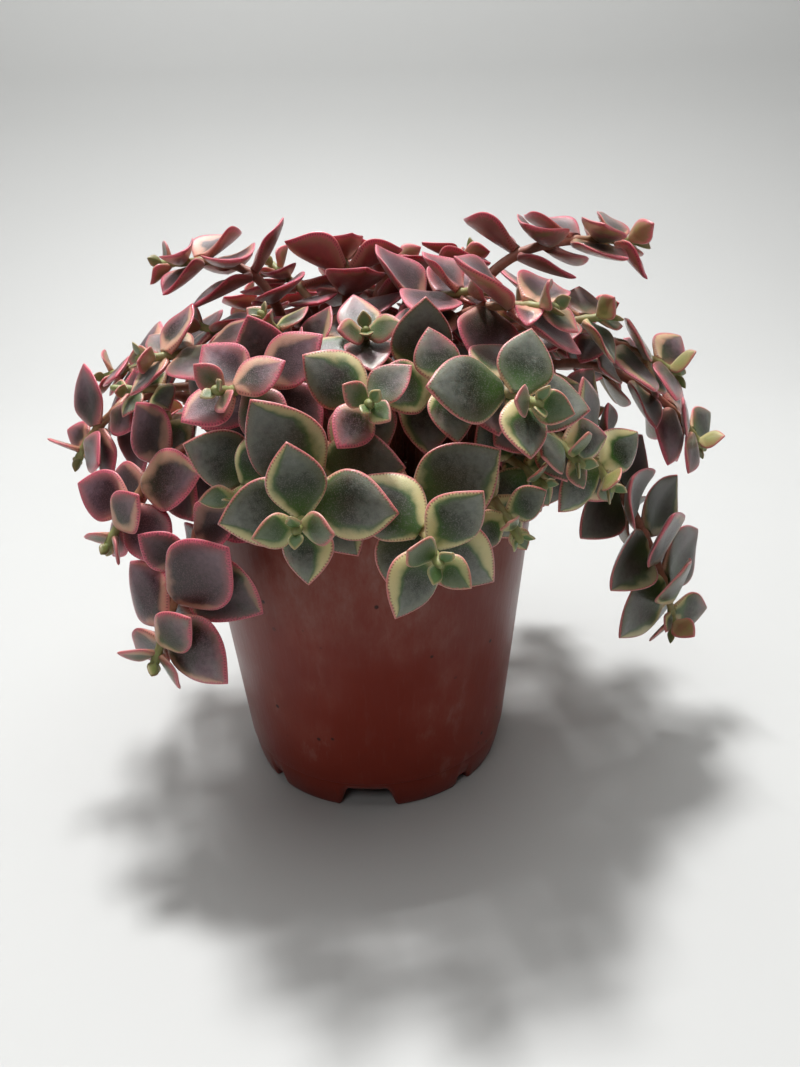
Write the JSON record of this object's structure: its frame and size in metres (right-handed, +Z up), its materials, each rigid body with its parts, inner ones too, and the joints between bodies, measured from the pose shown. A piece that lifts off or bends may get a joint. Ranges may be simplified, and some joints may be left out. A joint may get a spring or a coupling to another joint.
{
  "type": "potted calico kitten crassula",
  "caption": "Variegated trailing crassula: arching and hanging stems with paired, pointed oval leaves grow from potting mix in a tapered plastic nursery pot.",
  "frame": {"origin": "on the surface that the pot stands on, under the middle of the whole plant's box", "axes": "+Z up, -Y towards the side that the picture shows, +X to that view's right"},
  "size_m": [0.1774, 0.1544, 0.143],
  "materials": {
    "pot": "satin terracotta-coloured thin plastic",
    "soil": "damp, crumbly potting mix",
    "leaf": "waxy variegated leaf in green, cream and pink"
  },
  "bodies": {
    "root": {"pot": "pot", "soil": "soil", "stem_front_left": "leaf", "stem_front": "leaf", "stem_front_right_low": "leaf", "stem_right_front": "leaf", "stem_front_upper": "leaf", "stem_front_middle": "leaf", "stem_trailing_left": "leaf", "stem_left_low": "leaf", "stem_left_bud": "leaf", "stem_left_top": "leaf", "stem_left_upper": "leaf", "stem_left_front": "leaf", "stem_left_centre": "leaf", "stem_top_left": "leaf", "stem_top_back": "leaf", "stem_top_middle": "leaf", "stem_top_front": "leaf", "stem_top_right_front": "leaf", "stem_top_right": "leaf", "stem_right_bud": "leaf", "stem_trailing_right": "leaf", "stem_right_side": "leaf", "stem_right_low": "leaf", "stem_centre_front": "leaf", "stem_left_back_low": "leaf", "stem_right_upper": "leaf", "stem_right_inner": "leaf", "stem_right_middle": "leaf", "stem_left_middle": "leaf", "stem_back_1": "leaf", "stem_back_2": "leaf", "stem_back_3": "leaf", "stem_back_4": "leaf", "stem_back_5": "leaf", "stem_back_6": "leaf", "stem_back_7": "leaf", "stem_back_upper_1": "leaf", "stem_back_upper_2": "leaf", "stem_back_upper_3": "leaf", "stem_back_upper_4": "leaf", "stem_back_middle": "leaf", "stem_rim_1": "leaf", "stem_rim_2": "leaf", "stem_rim_3": "leaf", "stem_rim_4": "leaf", "stem_rim_5": "leaf", "stem_rim_6": "leaf", "stem_rim_7": "leaf"}
  },
  "joints": []
}
